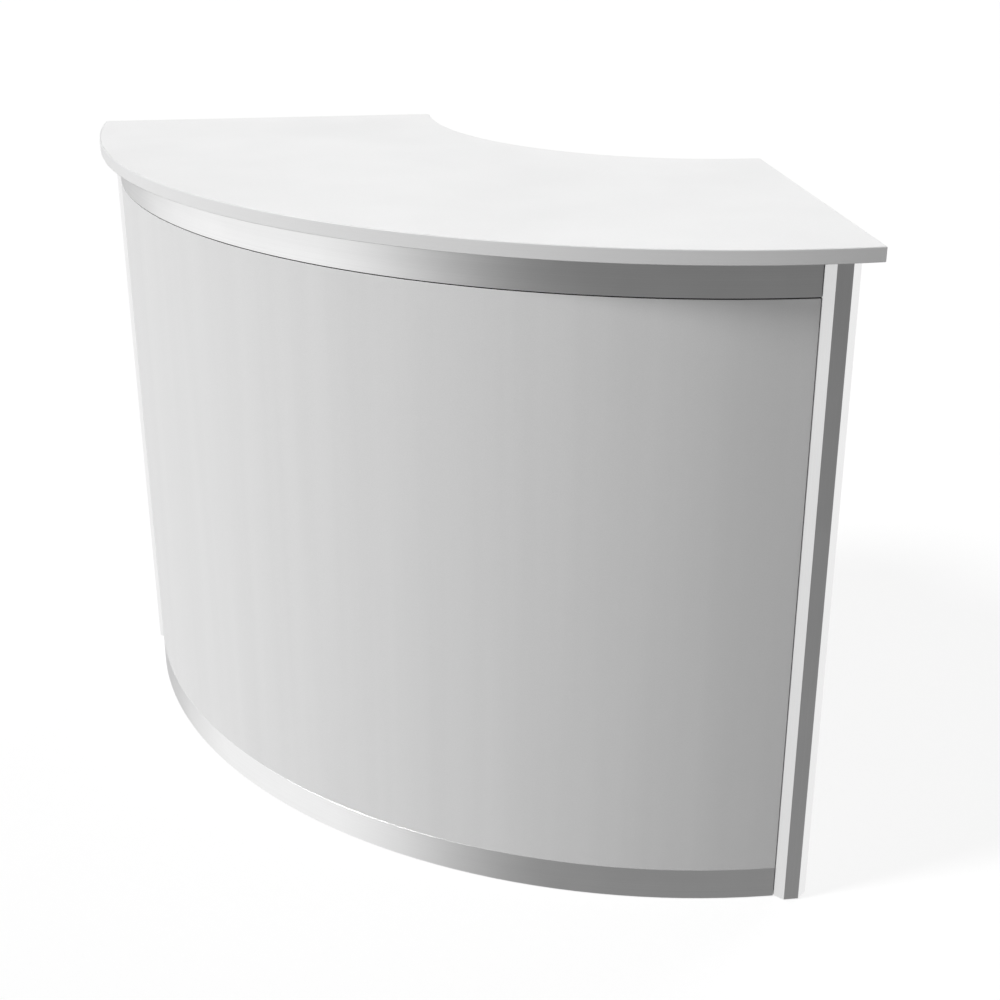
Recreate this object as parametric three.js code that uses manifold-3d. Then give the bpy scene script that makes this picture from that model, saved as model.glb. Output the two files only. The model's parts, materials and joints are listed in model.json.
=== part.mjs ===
// A quarter-round reception desk: a white worktop and curved front on a frame of
// eight-sided aluminium uprights and curved rails, with a shelf and a pair of curved doors behind.
// Millimetres, +Z up. The front bulges towards -Y and the person at the desk stands on the +Y side.
// Plan sizes are measured from the centre of the front arc. The finished group is then moved, so that
// the origin lies on the floor under the middle of the worktop.
// At each end of the desk, r runs outward from the arc centre and t runs across, past the end.
import * as THREE from 'three';
import { mergeVertices } from 'three/addons/utils/BufferGeometryUtils.js';
import Module from 'manifold-3d';

const wasm = await Module();
wasm.setup();

// Plan of the desk
const sectorAngle = THREE.MathUtils.degToRad(90);
const postRadius = 953; // arc centre to the front uprights
const postOffset = 13; // uprights stand this far past the ends of the sector
const rearEdgeRadius = 467; // hollow rear edge of the worktop
const rearCentreShift = 65; // its centre lies this far behind the centre of the front arc
const overhang = 17.5; // worktop past the uprights, at the front and the rear
const endOverhang = 20; // and at the two ends

// Heights and worktop
const deskHeight = 1000;
const topThickness = 20;
const edgingThickness = 2;
const shelfHeight = 480;
const boardThickness = 16;

// Uprights: hollow eight-sided extrusions with a core tube on diagonal webs, and pegs into the worktop
const postWidth = 53; // across flats
const postWall = 3;
const webThickness = 3;
const coreBore = 14;
const coreWall = 3;
const pegLength = 50;
const pegInTop = 10;
const pegChamfer = 1.5;

// Rails, and the tongues that hook them into the uprights. Rails and panels end at a joint that follows
// the flats of the uprights
const railHeight = 50;
const railDepth = 30;
const jointGap = 1.5;
const hookWidth = 10;
const hookHeight = 30;
const hookReach = 7;

// Panels, held by a tongue along the top and bottom edges
const panelThickness = 12;
const tongueThickness = 4;
const tongueHeight = 8;
const topSealHeight = 2;
const sealSetback = 1.5;

// Glides and supports
const glideLip = 1.5;
const glideInset = 2;
const glideSpigot = 25;
const cleatLeg = 20;
const cleatThickness = 3;
const cleatEndGap = 20;
const bracketWidth = 12;
const bracketLeg = 32;
const bracketThickness = 3;

// Doors and their pivots
const doorThickness = 6;
const doorClearance = 3; // above and below
const doorSetback = 2; // behind the face of the rear rails
const hingeGap = 2.5;
const meetingGap = 5;
const pivotInset = 12; // pivot line to the upright
const pinDiameter = 6;
const pinDepth = 12;
const collarDiameter = 10;
const blockTail = 17; // from the pivot line towards the middle of the desk
const blockHeight = 18;
const blockThickness = 12;
const stopHeight = 14;
const stopThickness = 3;
const stopEndGap = 26;

// Lock and pull on each door
const lockInset = 30;
const barrelDiameter = 16;
const lockHeadDiameter = 22;
const lockHeadThickness = 3;
const lockHeadChamfer = 1;
const spindleDiameter = 6;
const spindleDepth = 9;
const camWidth = 12;
const camReach = 24;
const camThickness = 2.5;
const pullSpan = 96;
const pullReach = 22;
const pullDiameter = 8;
const pullDrop = 130; // centre of the pull below the lock

// Clearances
const fitGap = 0.3; // between pieces that fit into or against each other
const looseGap = 2; // round the boards
const glueLine = 0.05; // between the worktop and its edging
const overcut = 1; // a cutting tool runs this far past what it cuts
const weldDistance = 1e-4; // corners of a mesh closer than this are one

// Facets: points on a curved piece, and round a small cylinder
const arcSteps = 24;
const roundSteps = 24;
const camSteps = 6;
const pullSteps = 22;
const pullSides = 10;

// Levels
const topUnderside = deskHeight - topThickness;
const topRailFloor = topUnderside - railHeight;
const bottomRailTop = glideLip + railHeight;
const bottomRailMiddle = glideLip + railHeight / 2;
const topRailMiddle = topUnderside - railHeight / 2;
const doorFloor = bottomRailTop + doorClearance;
const doorTop = topRailFloor - doorClearance;
const tongueFloor = bottomRailTop - tongueHeight;
const tongueTop = topRailFloor + tongueHeight - topSealHeight;

// Plan values that follow from the driving sizes
const half = sectorAngle / 2;
const endRadial = new THREE.Vector2(Math.sin(half), -Math.cos(half));
const endAcross = new THREE.Vector2(Math.cos(half), Math.sin(half));
const postFace = postOffset - postWidth / 2;
const endEdge = postOffset + postWidth / 2 + endOverhang;
const frontEdgeRadius = postRadius + postWidth / 2 + overhang;
const rearPostRadius = reachAtEnd(rearCentreShift, rearEdgeRadius, postOffset) + overhang + postWidth / 2;
const frontLine = Math.hypot(postRadius, postOffset);
const frontFace = frontLine + railDepth / 2;
const rearLine = Math.hypot(
  rearPostRadius - rearCentreShift * endRadial.y,
  postOffset - rearCentreShift * endAcross.y,
);
const doorFace = rearLine - railDepth / 2 + doorSetback;
const doorBack = doorFace + doorThickness;
const doorMiddle = doorFace + doorThickness / 2;

// Where a circle about (0, centreY) crosses the line at t: its r in the frame of the end
function reachAtEnd(centreY, radius, t) {
  const across = t - centreY * endAcross.y;
  return centreY * endRadial.y + Math.sqrt(radius ** 2 - across ** 2);
}

// The same crossing as an angle about (0, centreY), counted from the middle of the front
function angleAtEnd(centreY, radius, t) {
  const r = reachAtEnd(centreY, radius, t);
  const x = endRadial.x * r + endAcross.x * t;
  const y = endRadial.y * r + endAcross.y * t;
  return Math.atan2(x, centreY - y);
}

// An arc that runs from the left end to the right end of the desk, stopping at t
function arcBetweenEnds(centreY, radius, t) {
  const angle = angleAtEnd(centreY, radius, t);
  return { centreY, radius, from: -angle, to: angle };
}

// A plan outline between an outer and an inner arc
function ringShape(outer, inner) {
  const shape = new THREE.Shape();
  const front = -Math.PI / 2;
  shape.absarc(0, outer.centreY, outer.radius, front + outer.from, front + outer.to, false);
  shape.absarc(0, inner.centreY, inner.radius, front + inner.to, front + inner.from, true);
  shape.closePath();
  return shape;
}

// A ring between the ends about one centre
function ringBetweenEnds(centreY, outerRadius, innerRadius, t) {
  return ringShape(arcBetweenEnds(centreY, outerRadius, t), arcBetweenEnds(centreY, innerRadius, t));
}

function slab(shape, floor, top) {
  const geometry = new THREE.ExtrudeGeometry(shape, {
    depth: top - floor,
    bevelEnabled: false,
    curveSegments: arcSteps,
  });
  return geometry.translate(0, 0, floor);
}

function polygon(points) {
  return new THREE.Shape(points.map(([x, y]) => new THREE.Vector2(x, y)));
}

// A box given by its corners
function block(low, high) {
  const size = high.map((value, i) => value - low[i]);
  const middle = high.map((value, i) => (value + low[i]) / 2);
  return new THREE.BoxGeometry(...size).translate(...middle);
}

// An upright cylinder
function rod(diameter, floor, top, x = 0, y = 0) {
  const geometry = new THREE.CylinderGeometry(diameter / 2, diameter / 2, top - floor, roundSteps);
  return geometry.rotateX(Math.PI / 2).translate(x, y, (floor + top) / 2);
}

// Joining and cutting of closed meshes
function toSolid(geometry) {
  const bare = geometry.clone();
  bare.deleteAttribute('normal');
  bare.deleteAttribute('uv');
  const merged = mergeVertices(bare, weldDistance);
  const vertProperties = new Float32Array(merged.attributes.position.array);
  const triVerts = new Uint32Array(merged.index.array);
  return new wasm.Manifold(new wasm.Mesh({ numProp: 3, vertProperties, triVerts }));
}

function toGeometry(solid) {
  const mesh = solid.getMesh();
  const geometry = new THREE.BufferGeometry();
  geometry.setAttribute('position', new THREE.BufferAttribute(mesh.vertProperties, 3));
  geometry.setIndex(new THREE.BufferAttribute(mesh.triVerts, 1));
  geometry.computeVertexNormals();
  return geometry;
}

function join(...geometries) {
  return toGeometry(geometries.map(toSolid).reduce((a, b) => a.add(b)));
}

function cut(geometry, ...tools) {
  return toGeometry(tools.map(toSolid).reduce((a, b) => a.subtract(b), toSolid(geometry)));
}

// What two closed meshes share
function common(one, other) {
  return toGeometry(toSolid(one).intersect(toSolid(other)));
}

// Finishes
const finishes = {
  whiteBoard: { color: 0xf0f0ef, roughness: 0.55, metalness: 0 },
  whitePanel: { color: 0xe6e6e5, roughness: 0.5, metalness: 0 },
  aluminium: { color: 0xb9bbbd, roughness: 0.35, metalness: 1 },
  steel: { color: 0x9c9ea0, roughness: 0.3, metalness: 1 },
  blackPlastic: { color: 0x26272a, roughness: 0.6, metalness: 0 },
};

function piece(name, finish, geometry) {
  const mesh = new THREE.Mesh(geometry, new THREE.MeshStandardMaterial(finishes[finish]));
  mesh.name = name;
  return mesh;
}

// Both ends of the desk are alike; side is +1 on the right and -1 on the left
const sides = [
  { side: 1, word: 'right' },
  { side: -1, word: 'left' },
];

function turnOfEnd(side) {
  return -Math.PI / 2 + side * half;
}

// A geometry made in the frame of an end, with x along r and y along side * t, put into the plan
function fromEnd(side, geometry) {
  return geometry.rotateZ(turnOfEnd(side));
}

// Worktop: a board with edging on all four sides, and a blind hole over each upright
const worktop = new THREE.Group();
const boardFrontRadius = frontEdgeRadius - edgingThickness;
const boardRearRadius = rearEdgeRadius + edgingThickness;
const boardEnd = endEdge - edgingThickness;

function worktopBoard() {
  const outline = ringShape(
    arcBetweenEnds(0, boardFrontRadius, boardEnd),
    arcBetweenEnds(rearCentreShift, boardRearRadius, boardEnd),
  );
  const board = slab(outline, topUnderside, deskHeight);
  const holes = [];
  for (const { side } of sides) {
    for (const radius of [postRadius, rearPostRadius]) {
      const holeTop = topUnderside + pegInTop + fitGap;
      holes.push(fromEnd(side, rod(coreBore, topUnderside - overcut, holeTop, radius, side * postOffset)));
    }
  }
  return cut(board, ...holes);
}

// The edging follows the board at the width of a glue line
function curvedEdging(centreY, innerRadius, outerRadius, innerEnd, outerEnd) {
  const outline = ringShape(
    arcBetweenEnds(centreY, outerRadius, outerEnd),
    arcBetweenEnds(centreY, innerRadius, innerEnd),
  );
  return slab(outline, topUnderside, deskHeight);
}

function straightEdging(side) {
  const rearCorner = reachAtEnd(rearCentreShift, boardRearRadius, boardEnd) + fitGap;
  const frontCorner = reachAtEnd(0, boardFrontRadius, boardEnd) - fitGap;
  const inner = side * (boardEnd + glueLine);
  const outer = side * endEdge;
  const low = [rearCorner, Math.min(inner, outer), topUnderside];
  const high = [frontCorner, Math.max(inner, outer), deskHeight];
  return fromEnd(side, block(low, high));
}

worktop.add(piece('worktop_board', 'whiteBoard', worktopBoard()));
worktop.add(piece('worktop_edging_front', 'whiteBoard',
  curvedEdging(0, boardFrontRadius + glueLine, frontEdgeRadius, boardEnd, endEdge)));
worktop.add(piece('worktop_edging_rear', 'whiteBoard',
  curvedEdging(rearCentreShift, rearEdgeRadius, boardRearRadius - glueLine, endEdge, boardEnd)));
for (const { side, word } of sides) {
  worktop.add(piece(`worktop_edging_${word}`, 'whiteBoard', straightEdging(side)));
}

// Uprights, made about their own axis
const postFloor = glideLip;
const hookSlot = { width: hookWidth + 2 * fitGap, height: hookHeight + 2 * fitGap };

function octagon(width) {
  const corner = width / 2 / Math.cos(Math.PI / 8);
  const turns = [...Array(8).keys()].map((i) => (i + 0.5) * Math.PI / 4);
  return polygon(turns.map((turn) => [corner * Math.cos(turn), corner * Math.sin(turn)]));
}

// A slot in the flat that faces along the given turn, for the hook of a rail
function hookSlotTool(turn, height) {
  const deep = hookReach + fitGap;
  const low = [postWidth / 2 - deep, -hookSlot.width / 2, height - hookSlot.height / 2];
  const high = [postWidth / 2 + overcut, hookSlot.width / 2, height + hookSlot.height / 2];
  return block(low, high).rotateZ(turn);
}

function uprightGeometry(slotTurns) {
  const below = postFloor - overcut;
  const above = topUnderside + overcut;
  const hollow = slab(octagon(postWidth - 2 * postWall), below, above);
  const web = block(
    [-postWidth / 2, -webThickness / 2, below - overcut], [postWidth / 2, webThickness / 2, above + overcut],
  );
  const webs = [web.clone().rotateZ(Math.PI / 4), web.rotateZ(-Math.PI / 4)];
  const core = rod(coreBore + 2 * coreWall, below - overcut, above + overcut);
  const cells = cut(hollow, ...webs, core);
  const bore = rod(coreBore, below, above);
  const slots = slotTurns.flatMap((turn) => [
    hookSlotTool(turn, bottomRailMiddle),
    hookSlotTool(turn, topRailMiddle),
  ]);
  return cut(slab(octagon(postWidth), postFloor, topUnderside), cells, bore, ...slots);
}

// The room an upright takes up in the frame of its end, with a gap round it
function uprightRoom(side, radius, gap, floor, top) {
  const room = slab(octagon(postWidth + 2 * gap), floor - overcut, top + overcut);
  return room.translate(radius, side * postOffset, 0);
}

// A seal in the joint between an upright and a panel: a strip of even thickness that follows the flats
// as far as the panel's zone reaches
function uprightSeal(side, radius, zone) {
  const outer = uprightRoom(side, radius, jointGap - fitGap, bottomRailTop, topRailFloor);
  const inner = uprightRoom(side, radius, fitGap, bottomRailTop - overcut, topRailFloor + overcut);
  return common(cut(outer, inner), zone);
}

// Pegs join the uprights to the worktop; glides close them at the floor
function pegGeometry() {
  const radius = coreBore / 2 - fitGap;
  const inset = radius - pegChamfer;
  const floor = topUnderside + pegInTop - pegLength;
  const profile = [[0, 0], [inset, 0], [radius, pegChamfer], [radius, pegLength - pegChamfer],
    [inset, pegLength], [0, pegLength]];
  const points = profile.map(([x, y]) => new THREE.Vector2(x, y));
  return new THREE.LatheGeometry(points, roundSteps).rotateX(Math.PI / 2).translate(0, 0, floor);
}

function glideGeometry() {
  const lip = slab(octagon(postWidth - 2 * glideInset), 0, glideLip);
  return join(lip, rod(coreBore - 2 * fitGap, 0, glideLip + glideSpigot));
}

// Straight runs between the uprights of one end, in its frame
const sideFrom = rearPostRadius + postWidth / 2;
const sideTo = postRadius - postWidth / 2;
const sideFace = postOffset + railDepth / 2;
const sideTongue = sideFace - panelThickness / 2;

// A block between two t values, on either side of the desk
function endBlock(side, rLow, rHigh, tLow, tHigh, zLow, zHigh) {
  const ys = [side * tLow, side * tHigh].sort((a, b) => a - b);
  return block([rLow, ys[0], zLow], [rHigh, ys[1], zHigh]);
}

// The rooms of both uprights of an end, for what stands between them
function sideRooms(side, floor, top) {
  return [rearPostRadius, postRadius].map((radius) => uprightRoom(side, radius, jointGap, floor, top));
}

function sideRailGeometry(side, floor, grooveFloor, grooveTop) {
  const inner = postOffset - railDepth / 2;
  const top = floor + railHeight;
  const bar = endBlock(side, rearPostRadius, postRadius, inner, sideFace, floor, top);
  const rail = cut(bar, ...sideRooms(side, floor, top));
  const middle = floor + railHeight / 2;
  const hook = endBlock(
    side, sideFrom - hookReach, sideTo + hookReach,
    postOffset - hookWidth / 2, postOffset + hookWidth / 2,
    middle - hookHeight / 2, middle + hookHeight / 2,
  );
  const grooveHalf = tongueThickness / 2 + fitGap;
  const groove = endBlock(
    side, rearPostRadius, postRadius, sideTongue - grooveHalf, sideTongue + grooveHalf,
    grooveFloor, grooveTop,
  );
  return cut(join(rail, hook), groove);
}

function sidePanelGeometry(side) {
  const board = endBlock(
    side, rearPostRadius, postRadius, sideFace - panelThickness, sideFace,
    bottomRailTop, topRailFloor - topSealHeight,
  );
  const tongue = endBlock(
    side, rearPostRadius, postRadius, sideTongue - tongueThickness / 2, sideTongue + tongueThickness / 2,
    tongueFloor, tongueTop,
  );
  return cut(join(board, tongue), ...sideRooms(side, tongueFloor, tongueTop));
}

// Seals of a side panel: a strip under the top rail, and one against each upright
function sideTopSeal(side) {
  const floor = topRailFloor - topSealHeight;
  const strip = endBlock(
    side, rearPostRadius, postRadius,
    sideTongue + tongueThickness / 2 + fitGap, sideFace - sealSetback, floor, topRailFloor,
  );
  return cut(strip, ...sideRooms(side, floor, topRailFloor));
}

// The zone of an end seal is the half of its upright that faces the panel
function sideEndSeal(side, postR) {
  const zone = endBlock(
    side, Math.max(postR - postWidth, rearPostRadius), Math.min(postR + postWidth, postRadius),
    sideFace - panelThickness, sideFace - sealSetback, bottomRailTop, topRailFloor,
  );
  return uprightSeal(side, postR, zone);
}

// A length of angle: one leg down the face at t, the other inward under a board
function cleatGeometry(side, faceT, rLow, rHigh, leg, thickness, top) {
  const face = faceT - fitGap;
  const points = [[0, 0], [-leg, 0], [-leg, -thickness],
    [-thickness, -thickness], [-thickness, -leg], [0, -leg]];
  const outline = polygon(points.map(([t, z]) => [side * (face + t), top + z]));
  const length = rHigh - rLow;
  const bar = new THREE.ExtrudeGeometry(outline, { depth: length, bevelEnabled: false });
  const alongR = new THREE.Matrix4().makeBasis(
    new THREE.Vector3(0, 1, 0), new THREE.Vector3(0, 0, 1), new THREE.Vector3(1, 0, 0),
  );
  return bar.applyMatrix4(alongR).translate(rLow, 0, 0);
}

// The heel of a door, and the corners of its pivot blocks, swing inward as far as the shelf allows
const heelReach = Math.hypot(pivotInset - hingeGap, blockThickness / 2);
const shelfRear = doorMiddle + heelReach + looseGap;
const bottomBoardFloor = bottomRailTop - boardThickness;
const shelfFloor = shelfHeight - boardThickness;
const frontBracketMiddle = frontFace - panelThickness - looseGap - bracketWidth / 2;
const rearBracketMiddle = reachAtEnd(rearCentreShift, shelfRear, postFace) + bracketWidth / 2;

function endOfDesk(side, word) {
  const end = new THREE.Group();
  end.rotation.z = turnOfEnd(side);
  const across = -side * Math.PI / 2;
  const uprights = [
    { place: 'front', radius: postRadius, inward: Math.PI, bracket: frontBracketMiddle },
    { place: 'rear', radius: rearPostRadius, inward: 0, bracket: rearBracketMiddle },
  ];
  for (const { place, radius, inward, bracket } of uprights) {
    const parts = [
      piece(`post_${place}_${word}`, 'aluminium', uprightGeometry([across, inward])),
      piece(`worktop_peg_${place}_${word}`, 'steel', pegGeometry()),
      piece(`glide_${place}_${word}`, 'blackPlastic', glideGeometry()),
    ];
    for (const part of parts) {
      part.position.set(radius, side * postOffset, 0);
      end.add(part);
    }
    end.add(piece(`shelf_bracket_${place}_${word}`, 'steel', cleatGeometry(
      side, postFace, bracket - bracketWidth / 2, bracket + bracketWidth / 2,
      bracketLeg, bracketThickness, shelfFloor,
    )));
  }
  end.add(piece(`rail_bottom_${word}`, 'aluminium',
    sideRailGeometry(side, glideLip, tongueFloor - fitGap, bottomRailTop + overcut)));
  end.add(piece(`rail_top_${word}`, 'aluminium',
    sideRailGeometry(side, topRailFloor, topRailFloor - overcut, topRailFloor + tongueHeight + fitGap)));
  end.add(piece(`panel_${word}`, 'whitePanel', sidePanelGeometry(side)));
  end.add(piece(`seal_${word}_top`, 'blackPlastic', sideTopSeal(side)));
  end.add(piece(`seal_${word}_front`, 'blackPlastic', sideEndSeal(side, postRadius)));
  end.add(piece(`seal_${word}_rear`, 'blackPlastic', sideEndSeal(side, rearPostRadius)));
  end.add(piece(`board_cleat_${word}`, 'aluminium', cleatGeometry(
    side, postOffset - railDepth / 2, sideFrom + cleatEndGap, sideTo - cleatEndGap,
    cleatLeg, cleatThickness, bottomBoardFloor,
  )));
  return end;
}

// Curved runs between the two ends
function curvedRooms(postR, floor, top) {
  return sides.map(({ side }) => fromEnd(side, uprightRoom(side, postR, jointGap, floor, top)));
}

function curvedRail(centreY, line, postR, floor) {
  const top = floor + railHeight;
  const bar = slab(
    ringBetweenEnds(centreY, line + railDepth / 2, line - railDepth / 2, postOffset), floor, top,
  );
  const rail = cut(bar, ...curvedRooms(postR, floor, top));
  const middle = floor + railHeight / 2;
  const hooks = sides.map(({ side }) => fromEnd(side, endBlock(
    side, postR - hookWidth / 2, postR + hookWidth / 2, postFace - hookReach, postFace + hookReach,
    middle - hookHeight / 2, middle + hookHeight / 2,
  )));
  return join(rail, ...hooks);
}

const frontTongue = frontFace - panelThickness / 2;

function frontGroove(floor, top) {
  const grooveHalf = tongueThickness / 2 + fitGap;
  return slab(ringBetweenEnds(0, frontTongue + grooveHalf, frontTongue - grooveHalf, postOffset), floor, top);
}

function frontPanel() {
  const board = slab(
    ringBetweenEnds(0, frontFace, frontFace - panelThickness, postOffset),
    bottomRailTop, topRailFloor - topSealHeight,
  );
  const tongue = slab(
    ringBetweenEnds(0, frontTongue + tongueThickness / 2, frontTongue - tongueThickness / 2, postOffset),
    tongueFloor, tongueTop,
  );
  return cut(join(board, tongue), ...curvedRooms(postRadius, tongueFloor, tongueTop));
}

function frontTopSeal() {
  const outer = frontFace - sealSetback;
  const inner = frontTongue + tongueThickness / 2 + fitGap;
  const floor = topRailFloor - topSealHeight;
  const strip = slab(ringBetweenEnds(0, outer, inner, postOffset), floor, topRailFloor);
  return cut(strip, ...curvedRooms(postRadius, floor, topRailFloor));
}

function frontSideSeal(side) {
  const zone = endBlock(
    side, frontFace - panelThickness, frontFace - sealSetback,
    postFace - jointGap, postOffset, bottomRailTop, topRailFloor,
  );
  return fromEnd(side, uprightSeal(side, postRadius, zone));
}

// Boards inside: the floor of the cupboard lies between the bottom rails, the shelf between the panels.
// Both are notched round the four uprights
function notchedBoard(outline, floor, top) {
  const notches = sides.flatMap(({ side }) => [rearPostRadius, postRadius].map(
    (radius) => fromEnd(side, uprightRoom(side, radius, looseGap, floor, top)),
  ));
  return cut(slab(outline, floor, top), ...notches);
}

function bottomBoard() {
  const end = postOffset - railDepth / 2 - looseGap;
  const outline = ringShape(
    arcBetweenEnds(0, frontLine - railDepth / 2 - looseGap, end),
    arcBetweenEnds(rearCentreShift, rearLine + railDepth / 2 + looseGap, end),
  );
  return notchedBoard(outline, bottomBoardFloor, bottomRailTop);
}

function shelfBoard() {
  const end = sideFace - panelThickness - looseGap;
  const outline = ringShape(
    arcBetweenEnds(0, frontFace - panelThickness - looseGap, end),
    arcBetweenEnds(rearCentreShift, shelfRear, end),
  );
  return notchedBoard(outline, shelfFloor, shelfHeight);
}

// The doors swing on pins in the rear rails; the pivot line lies in the middle of the door
const pivotAngle = angleAtEnd(rearCentreShift, doorMiddle, postFace - pivotInset);
const pivotX = Math.sin(pivotAngle) * doorMiddle;
const pivotY = rearCentreShift - Math.cos(pivotAngle) * doorMiddle;

function pivotHole(side, floor, top) {
  return rod(pinDiameter + 2 * fitGap, floor, top, side * pivotX, pivotY);
}

function rearRail(floor, holeFloor, holeTop) {
  const holes = sides.map(({ side }) => pivotHole(side, holeFloor, holeTop));
  return cut(curvedRail(rearCentreShift, rearLine, rearPostRadius, floor), ...holes);
}

// A group about the centre of the rear arc, turned so that its -Y axis points at a place on the doors
function rearGroup(angle) {
  const group = new THREE.Group();
  group.position.y = rearCentreShift;
  group.rotation.z = angle;
  return group;
}

// A geometry made in such a group's frame, put into the plan
function fromRear(angle, geometry) {
  return geometry.rotateZ(angle).translate(0, rearCentreShift, 0);
}

// The block of a pivot in its group's frame, grown by a margin on every face
function pivotBlock(side, floor, margin) {
  const heel = pivotInset - hingeGap;
  const xs = [side * (heel + margin), -side * (blockTail + margin)].sort((a, b) => a - b);
  const depth = blockThickness / 2 + margin;
  const low = [xs[0], -doorMiddle - depth, floor - margin];
  return block(low, [xs[1], -doorMiddle + depth, floor + blockHeight + margin]);
}

// Upper and lower pivots: direction is +1 where the pin points up
const pivots = [
  { level: 'top', direction: 1, floor: doorTop - blockHeight, face: topRailFloor, edge: doorTop },
  { level: 'bottom', direction: -1, floor: doorFloor, face: bottomRailTop, edge: doorFloor },
];

function pivotGeometry(side, { direction, floor, face, edge }) {
  const root = edge - direction * blockHeight / 2;
  const collarTip = face - direction * fitGap;
  const pinTip = face + direction * pinDepth;
  const span = (a, b) => [Math.min(a, b), Math.max(a, b)];
  const collar = rod(collarDiameter, ...span(root, collarTip), 0, -doorMiddle);
  const pin = rod(pinDiameter, ...span(root, pinTip), 0, -doorMiddle);
  return join(pivotBlock(side, floor, 0), collar, pin);
}

// Lock places
const stopFloor = topRailFloor - stopHeight;
const lockHeight = stopFloor - camWidth;
const lockAngle = Math.asin((meetingGap / 2 + lockInset) / doorMiddle);
const stopFace = doorBack + fitGap;
const camFace = stopFace + stopThickness + fitGap;

function doorGeometry(side) {
  const edgeAngle = (radius) => Math.asin(meetingGap / 2 / radius);
  const hingeAngle = (radius) => angleAtEnd(rearCentreShift, radius, postFace - hingeGap);
  const doorArc = (radius) => {
    const angles = [side * edgeAngle(radius), side * hingeAngle(radius)].sort((a, b) => a - b);
    return { centreY: rearCentreShift, radius, from: angles[0], to: angles[1] };
  };
  const leaf = slab(ringShape(doorArc(doorBack), doorArc(doorFace)), doorFloor, doorTop);
  const notches = pivots.map(({ floor }) => fromRear(side * pivotAngle, pivotBlock(side, floor, fitGap)));
  const barrelHole = new THREE.CylinderGeometry(
    barrelDiameter / 2 + fitGap, barrelDiameter / 2 + fitGap, doorThickness + 2 * overcut, roundSteps,
  ).translate(0, -doorMiddle, lockHeight);
  return cut(leaf, ...notches, fromRear(side * lockAngle, barrelHole));
}

// A strip under the rear top rail stops the doors and catches the cams of the locks
function doorStop() {
  const end = postFace - pivotInset - stopEndGap;
  return slab(
    ringBetweenEnds(rearCentreShift, stopFace + stopThickness, stopFace, end), stopFloor, topRailFloor,
  );
}

// Lock barrel: a turned piece on an axis across the door, bored for the spindle of the cam
function barrelGeometry() {
  const head = -doorFace + fitGap;
  const front = head + lockHeadThickness;
  const tail = -camFace + fitGap;
  const bore = spindleDiameter / 2 + fitGap;
  const profile = [
    [0, front], [lockHeadDiameter / 2 - lockHeadChamfer, front],
    [lockHeadDiameter / 2, front - lockHeadChamfer], [lockHeadDiameter / 2, head],
    [barrelDiameter / 2, head], [barrelDiameter / 2, tail], [bore, tail],
    [bore, tail + spindleDepth], [0, tail + spindleDepth],
  ];
  const points = profile.reverse().map(([x, y]) => new THREE.Vector2(x, y));
  return new THREE.LatheGeometry(points, roundSteps).translate(0, 0, lockHeight);
}

// Cam: a plate with a round end, lying level when unlocked, on a spindle in the barrel
function camGeometry(side) {
  const outline = new THREE.Shape();
  const width = camWidth / 2;
  const start = side * Math.PI / 2;
  outline.absarc(0, 0, width, start, start + Math.PI, false);
  outline.lineTo(side * camReach, -side * width);
  outline.lineTo(side * camReach, side * width);
  outline.closePath();
  const plate = new THREE.ExtrudeGeometry(outline, {
    depth: camThickness, bevelEnabled: false, curveSegments: camSteps,
  });
  plate.rotateX(Math.PI / 2).translate(0, -camFace, 0);
  const spindleLength = spindleDepth - fitGap + camThickness;
  const spindle = new THREE.CylinderGeometry(
    spindleDiameter / 2, spindleDiameter / 2, spindleLength, roundSteps,
  ).translate(0, -camFace - camThickness + spindleLength / 2, 0);
  return join(plate, spindle).translate(0, 0, lockHeight);
}

// Bow pull: a round bar bent to a bow, ends on the face of the door
function pullGeometry() {
  const centre = lockHeight - pullDrop;
  const foot = -doorFace + fitGap;
  const bow = foot + pullReach - pullDiameter / 2;
  const bend = pullReach / 2;
  const low = centre - pullSpan / 2;
  const high = centre + pullSpan / 2;
  const at = (y, z) => new THREE.Vector3(0, y, z);
  const path = new THREE.CurvePath();
  path.add(new THREE.LineCurve3(at(foot, low), at(bow - bend, low)));
  path.add(new THREE.QuadraticBezierCurve3(at(bow - bend, low), at(bow, low), at(bow, low + bend)));
  path.add(new THREE.LineCurve3(at(bow, low + bend), at(bow, high - bend)));
  path.add(new THREE.QuadraticBezierCurve3(at(bow, high - bend), at(bow, high), at(bow - bend, high)));
  path.add(new THREE.LineCurve3(at(bow - bend, high), at(foot, high)));
  const section = new THREE.Shape();
  section.absarc(0, 0, pullDiameter / 2, 0, 2 * Math.PI, false);
  return new THREE.ExtrudeGeometry(section, {
    extrudePath: path, steps: pullSteps, bevelEnabled: false, curveSegments: pullSides / 2,
  });
}

function doorOfDesk(side, word) {
  const door = new THREE.Group();
  door.add(piece(`door_${word}`, 'whitePanel', doorGeometry(side)));
  const pivotLine = rearGroup(side * pivotAngle);
  for (const pivot of pivots) {
    pivotLine.add(piece(`door_pivot_${pivot.level}_${word}`, 'steel', pivotGeometry(side, pivot)));
  }
  const lock = rearGroup(side * lockAngle);
  lock.add(piece(`lock_barrel_${word}`, 'steel', barrelGeometry()));
  lock.add(piece(`lock_cam_${word}`, 'steel', camGeometry(side)));
  lock.add(piece(`door_pull_${word}`, 'aluminium', pullGeometry()));
  door.add(pivotLine, lock);
  return door;
}

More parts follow.
